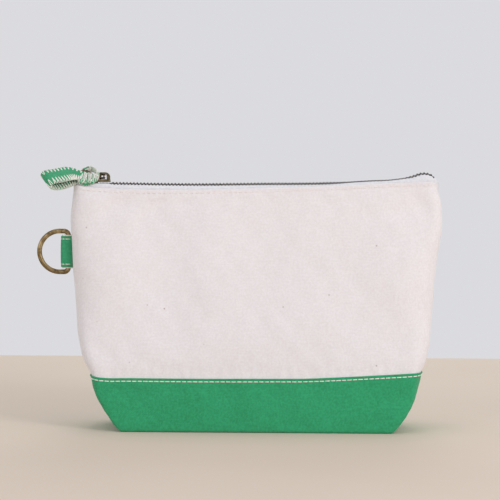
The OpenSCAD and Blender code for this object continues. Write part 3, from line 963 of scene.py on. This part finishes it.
def strap_spine():
    """Middle line of the loop: distances along it, and places, directions across and normals at them."""
    a = np.linspace(0, 1, 60) * STRAP_L
    yaw = STRAP_YAW * smooth(a, 8 * MM, 22 * MM)
    step = a[1] - a[0]
    x = STRAP_FROM_X - np.concatenate([[0], np.cumsum(np.cos(yaw[1:]) * step)])
    y = -np.concatenate([[0], np.cumsum(np.sin(yaw[1:]) * step)])
    z = LOOP_PIVOT[2] + (-0.6 + 1.0 * smooth(a, 0, 12 * MM) - 2.6 * smooth(a, 12 * MM, 30 * MM)) * MM
    along = np.stack([-np.cos(yaw), -np.sin(yaw), np.zeros_like(yaw)], axis=1)
    level = np.stack([np.sin(yaw), -np.cos(yaw), np.zeros_like(yaw)], axis=1)
    across = level * math.cos(STRAP_ROLL) - np.array([0, 0, 1.0]) * math.sin(STRAP_ROLL)
    return a, np.stack([x, y, z], axis=1), across, np.cross(along, across)


def strap_outline():
    """The loop seen edge on, as distances along the spine and heights over it, at even steps round it."""
    angle = np.linspace(0, 2 * math.pi, 721)
    c, s = np.cos(angle), np.sin(angle)
    a = STRAP_L / 2 * (1 - np.sign(c) * np.abs(c) ** 0.6)
    upper_run = (1.3 + 2.2 * smooth(a, 4 * MM, 24 * MM)) * MM
    lower_run = (1.1 + 2.7 * smooth(a, 2 * MM, 20 * MM)) * MM
    b = np.where(s > 0, upper_run, lower_run) * np.sign(s) * np.abs(s) ** 0.7
    rows = np.stack([a, b], axis=1)
    steps = distances(rows)
    return reading(np.linspace(0, steps[-1], 241), steps, rows)


SPINE = strap_spine()
OUTLINE = strap_outline()


def outline_at(turn):
    return reading(turn % 1, np.linspace(0, 1, len(OUTLINE)), OUTLINE)


def on_strap(turn, across, lift):
    """A point of the loop: turn goes once round it from 0 to 1, across from -1 (back) to 1 (front edge)."""
    a, b = outline_at(turn)
    flow = unit(outline_at(turn + 0.006) - outline_at(turn - 0.006))
    spot, wide, up = [reading(a, SPINE[0], rows) for rows in SPINE[1:]]
    loose = float(smooth(a, 6 * MM, 18 * MM))
    tight_w, loose_w = STRAP_HALF_W
    half_w = tight_w + (loose_w - tight_w) * loose
    outward = up * flow[0] - np.cross(wide, up) * flow[1]
    return spot + up * b + wide * (half_w * across + STRAP_SHIFT * (1 - loose)) + outward * lift


def make_strap():
    turns = np.linspace(0, 1, STRAP_STEPS, endpoint=False)
    shares = np.linspace(-1, 1, 13)
    points = np.array([[on_strap(t, s, 0.25 * MM * (1 - s * s)) for s in shares] for t in turns])
    columns = points.transpose(1, 0, 2)
    strap = make_mesh("pull_strap_tape", columns, grid_faces(*columns.shape[:2], closed=True),
                      TAB_GREEN, "green_tape", cloth_uv(columns))
    thicken(strap, STRAP_T, 0)
    bends_at_puller(strap)
    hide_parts("pull_strap")
    threads = []
    for side, count, reach, crowd in STRAP_OVERLOCK:
        def place(turn, across, lift):
            return on_strap(turn - crowd * math.sin(2 * math.pi * turn) / (2 * math.pi), across, lift)
        path = overlock(place, side, count, reach)
        threads.append(path + path[:1])
    edging = make_threads("pull_strap_overlock", threads, EDGE_THREAD, WHITE_THREAD, "white_thread", 7)
    bends_at_puller(edging)
    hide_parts("pull_strap_edging")


def bends_at_puller(obj):
    """Bakes a strap piece's transform into its mesh."""
    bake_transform(obj)


def overlock(place, side, count, reach):
    """One thread that winds along an edge of a strap: a narrow V on each face for every turn.

    place gives a point of the strap, and reach is how near the middle of the strap the V's tips come."""
    out = STRAP_T / 2 + 0.15 * MM
    mid = (reach + 1) / 2
    # a quarter of a turn, from the V's tip to the strap's edge: (share of a turn, place across, height)
    quarter = [(0.0, reach, out - 0.25 * MM), (0.04, reach + 0.1, out), (0.11, mid, out + 0.05 * MM),
               (0.18, 0.97, out), (0.25, 1.07, 0)]
    half = quarter + [(0.5 - share, across, -lift) for share, across, lift in quarter[-2::-1]]
    turn = half + [(1 - share, across, lift) for share, across, lift in half[-2:0:-1]]
    return [place((i + share) / count, side * across, lift)
            for i in range(count) for share, across, lift in turn]


# Route of the hitch in mm from the puller's pivot: over the window and the near rail, over the neck, and
# back behind the far rail. Each row has the place along the puller, then the place across and the height of
# the lower edge, the same of the upper edge, and how far the band bulges between them.
HITCH_ROUTE = [
    (-17.6, -5.6, -0.4, -0.5, 0.6, 0.4),
    (-14.4, -8.6, -1.6, 1.0, 1.2, 1.9),
    (-9.8, -8.7, -0.8, 0.4, 1.3, 1.9),
    (-6.0, -7.4, 0.1, -1.2, 2.2, 1.4),
    (-4.2, -5.0, 0.9, -1.8, 2.8, 0.7),
    (-3.8, -2.4, 1.1, -0.6, 3.2, 0.3),
    (-4.5, 0.6, 1.1, 1.4, 3.4, 0.2),
    (-6.0, 3.6, 0.6, 4.4, 3.0, 0.1),
    (-8.2, 7.2, -0.9, 7.8, 2.1, 0),
    (-10.6, 9.0, -2.4, 9.0, 1.7, 0),
    (-13.2, 9.1, -3.4, 8.9, 0.9, 0),
    (-16.2, 8.6, -3.2, 8.4, -0.9, 0),
]
HITCH_THREAD = 0.23 * MM
HITCH_OVERLOCK = [(-1, 27), (1, 31)]  # (side, turns of thread)
HITCH_REACH = -0.15  # how near the middle the tips come, past it
HITCH_NEAR = 0.5  # share of the route that lies in front of the far rail
PULLER_PIVOT = np.array(JOINTS["puller_swing"]["pos_m"])
PULLER_ROLL = math.radians(35)  # lean of the puller towards the front


def route_at(at):
    """The hitch's route at a share of its length, with its corners rounded off by averaging."""
    route = np.array(HITCH_ROUTE) * MM
    knots = np.linspace(0, 1, len(route))
    reach = 0.4 / (len(route) - 1)
    return np.mean([reading(at + k * reach, knots, route) for k in (-1, 0, 1)], axis=0)


def hitch_section(at, across):
    """A point of the hitch in the puller's own directions, on a curve from its lower to its upper edge."""
    u, low_v, low_w, high_v, high_w, bulge = route_at(at)
    t = (across + 1) / 2
    low, high = np.array([low_v, low_w]), np.array([high_v, high_w])
    corner = np.array([low_v - bulge, high_w + bulge])
    v, w = low * (1 - t) ** 2 + corner * 2 * t * (1 - t) + high * t * t
    return np.array([u, v, w])


def on_hitch(turn, across, lift):
    """A point of the hitch: turn goes along its route from 0 to 1, across from -1 (lower edge) to 1."""
    along = hitch_section(turn + 0.01, across) - hitch_section(turn - 0.01, across)
    upward = hitch_section(turn, min(across, 1) + 0.02) - hitch_section(turn, min(across, 1) - 0.02)
    u, v, w = hitch_section(turn, across) + unit(np.cross(along, upward)) * lift
    c, s = math.cos(PULLER_ROLL), math.sin(PULLER_ROLL)
    return PULLER_PIVOT + np.array([u, v * c - w * s, v * s + w * c])


def beside_rail(turn, across, lift):
    """A place for the hitch's thread: all over it before the far rail, and only along its edge behind."""
    spread = turn - 0.12 * math.sin(math.pi * turn)
    far = float(smooth(spread, HITCH_NEAR, HITCH_NEAR + 0.1))
    side = -1 if across < 0 else 1
    inset = (1 - abs(across)) * (1 - 0.75 * far) * (1 + 0.2 * math.sin(83 * turn))
    return on_hitch(spread + 0.004 * math.sin(131 * turn), side * (1 - inset), lift)


def make_hitch():
    """The part of the strap that is drawn round the puller's neck, outside its rails."""
    turns = np.linspace(0, 1, 70)
    shares = np.linspace(-1, 1, 15)
    points = np.array([[on_hitch(t, s, 0.2 * MM * math.cos(9 * t + 2 * s)) for t in turns] for s in shares])
    band = make_mesh("pull_strap_hitch", points, grid_faces(*points.shape[:2]), TAB_GREEN, "green_tape",
                     cloth_uv(points))
    thicken(band, STRAP_T, 0)
    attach(band, "puller")
    threads = [overlock(beside_rail, side, count, HITCH_REACH) for side, count in HITCH_OVERLOCK]
    name = "pull_strap_hitch_overlock"
    edging = make_threads(name, threads, HITCH_THREAD, WHITE_THREAD, "white_thread", 7)
    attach(edging, "puller")


# -------- D-ring tab

BAR_X, _, BAR_Z = JOINTS["ring_swing"]["pos_m"]
TAB_HALF_H = (TAB_HIGH.z - TAB_LOW.z) / 2
TAB_END_X = TAB_HIGH.x - 0.3 * MM  # where the tab goes into the side seam
TAB_SLACK = 2.6 * MM  # between the ring's bar and the middle of the fold
TAB_R = BAR_X - TAB_LOW.x - 0.6 * MM - TAB_SLACK
TAB_STITCH_INSET = 2.9 * MM
# The two tapes as (piece, node, material, slot, radius of the fold, half height, thickness)
TAB_TAPES = [
    ("ring_tab_tape", "ring_tab_backing", CREAM, "natural_canvas", TAB_R - 0.55 * MM, TAB_HALF_H, 0.5 * MM),
    ("ring_tab_green", "ring_tab_cover", TAB_GREEN, "green_tape", TAB_R + 0.05 * MM, TAB_HALF_H - 0.85 * MM,
     0.55 * MM),
]


def tab_section(radius, end_half):
    """The tab seen from above: from the seam along the front, round the fold and back."""
    t = np.linspace(0, 1, 9)
    swell = (3 * t * t - 2 * t**3) ** 0.8
    front = np.column_stack([TAB_END_X + (BAR_X - TAB_END_X) * t, -(end_half + (radius - end_half) * swell)])
    a = np.linspace(0, math.pi, 17)
    fold = np.column_stack([BAR_X - TAB_SLACK - radius * np.sin(a), -radius * np.cos(a)])
    return np.concatenate([front, fold, front[::-1] * np.array([1, -1])])


def make_tab():
    for name, node, material, slot, radius, half_h, thickness in TAB_TAPES:
        section = tab_section(radius, radius - TAB_R + 0.9 * MM)
        rows = []
        for s in np.linspace(-1, 1, 19):
            # the tab is fuller between its edges
            x = BAR_X + (section[:, 0] - BAR_X) * np.where(section[:, 0] < BAR_X, 1 + 0.07 * (1 - s * s), 1)
            y = section[:, 1] * (1 + 0.05 * (1 - s * s))
            rows.append(np.column_stack([x, y, np.full(len(section), BAR_Z + s * half_h)]))
        points = np.array(rows)
        cover = make_mesh(name, points, grid_faces(*points.shape[:2]), material, slot, cloth_uv(points))
        thicken(cover, thickness, -1)
        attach(cover, "pouch")
        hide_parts(node)


def make_tab_stitches():
    """Two rows of stitches that run round the tab, near its edges."""
    section = tab_section(TAB_R + 0.4 * MM, 0.7 * MM)
    level = np.zeros(len(section))
    out = unit(np.column_stack([np.gradient(section[:, 1]), -np.gradient(section[:, 0]), level]))
    paths = []
    for end in (-1, 1):
        line = np.column_stack([section, level + BAR_Z + end * (TAB_HALF_H - TAB_STITCH_INSET)])
        paths += stitch_paths(line, out, 4.1 * MM, 3.4 * MM, 0.3 * MM)
    stitches = make_threads("ring_tab_topstitch", paths, 0.4 * MM, WHITE_THREAD, "white_thread")
    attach(stitches, "pouch")
    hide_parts("ring_tab_stitches")


# -------- stage, light and camera

FLOOR_REACH = 3
FLOOR_BACK = 0.487  # its far edge, a little way behind the pouch
LIGHT_AIM = (0, 0, 0.08)
# Round lamps as (name, place, diameter, watts, tint)
LAMPS = [
    ("key", (1.9, -1.7, 0.9), 1.0, 31, (1.0, 0.985, 0.97)),
    ("fill", (-1.6, -1.7, 0.7), 1.2, 10, (0.97, 0.98, 1.0)),
    ("rim", (0.2, 1.6, 1.2), 1.2, 7, (1.0, 1.0, 1.0)),
]


def make_stage():
    """A plain table top."""
    mesh = bpy.data.meshes.new("floor")
    far, back = FLOOR_REACH, FLOOR_BACK
    mesh.from_pydata([(-far, -far, 0), (far, -far, 0), (far, back, 0), (-far, back, 0)], [], [(0, 1, 2, 3)])
    mesh.materials.append(stage_material("floor_matte", colour(216, 202, 186), colour(210, 196, 180), 6))
    add_object("floor", mesh)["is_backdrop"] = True


def make_lights():
    world = bpy.data.worlds.new("studio")
    bpy.context.scene.world = world
    world.use_nodes = True
    background = world.node_tree.nodes["Background"]
    background.inputs["Color"].default_value = colour(219, 219, 223)
    background.inputs["Strength"].default_value = 1.0
    for name, place, size, power, tint in LAMPS:
        lamp = bpy.data.lights.new(name, "AREA")
        lamp.shape = "DISK"
        lamp.size = size
        lamp.energy = power
        lamp.color = tint
        obj = add_object(name, lamp)
        obj.location = place
        obj.rotation_euler = (Vector(LIGHT_AIM) - obj.location).to_track_quat("-Z", "Y").to_euler()


CAMERA_PLACE = (-4.5 * MM, -1.3, EDGE_H + 11.6 * MM)
CAMERA_PITCH = math.radians(90 - 2.47)
CAMERA_ROLL = math.radians(0.41)


def make_camera():
    """The photograph's view: level with the zip, a little more than a metre away, looking slightly down."""
    camera = bpy.data.cameras.new("camera")
    camera.lens = 133.7
    camera.sensor_width = 36
    obj = add_object("camera", camera)
    turn = Matrix.Rotation(CAMERA_PITCH, 4, "X") @ Matrix.Rotation(CAMERA_ROLL, 4, "Z")
    obj.matrix_world = Matrix.Translation(CAMERA_PLACE) @ turn
    bpy.context.scene.camera = obj


# -------- putting it together

def make_walls():
    """Front and back canvas, each with its topstitch."""
    front = panel_points(FRONT_DENTS, 11)
    back = mirrored(panel_points(BACK_DENTS, 23))
    for side, points in (("front", front), ("back", back)):
        make_panel(f"{side}_panel", points, f"{side}_canvas")
    for side, points in (("front", front), ("back", back)):
        make_zip_stitches(f"{side}_zip_stitches", points, f"{side}_zip_topstitch")


def make_zip():
    """Teeth and tapes of both walls. The back teeth stand in the gaps between the front ones."""
    for side, sign, shift in (("front", -1, 0.0), ("back", 1, TOOTH_PITCH / 2)):
        make_teeth(f"{side}_zip_teeth", f"{side}_teeth", sign, shift)
    for side, sign in (("front", -1), ("back", 1)):
        make_tape(f"{side}_tape", f"{side}_zip_tape", sign)


def corners(box):
    return [list(box[0]), list(box[1])]


make_stage()
make_lights()
make_camera()
bpy.context.scene.view_settings.view_transform = "Standard"
make_walls()
make_base_stitches(make_base())
make_lining()
make_side_seams()
make_corner_seams()
make_zip()
for metal in METAL_NODES:
    polish(*metal)
make_strap()
make_hitch()
make_tab()
make_tab_stitches()
{"cad": corners(CAD_BOX), "visual": corners(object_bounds())}
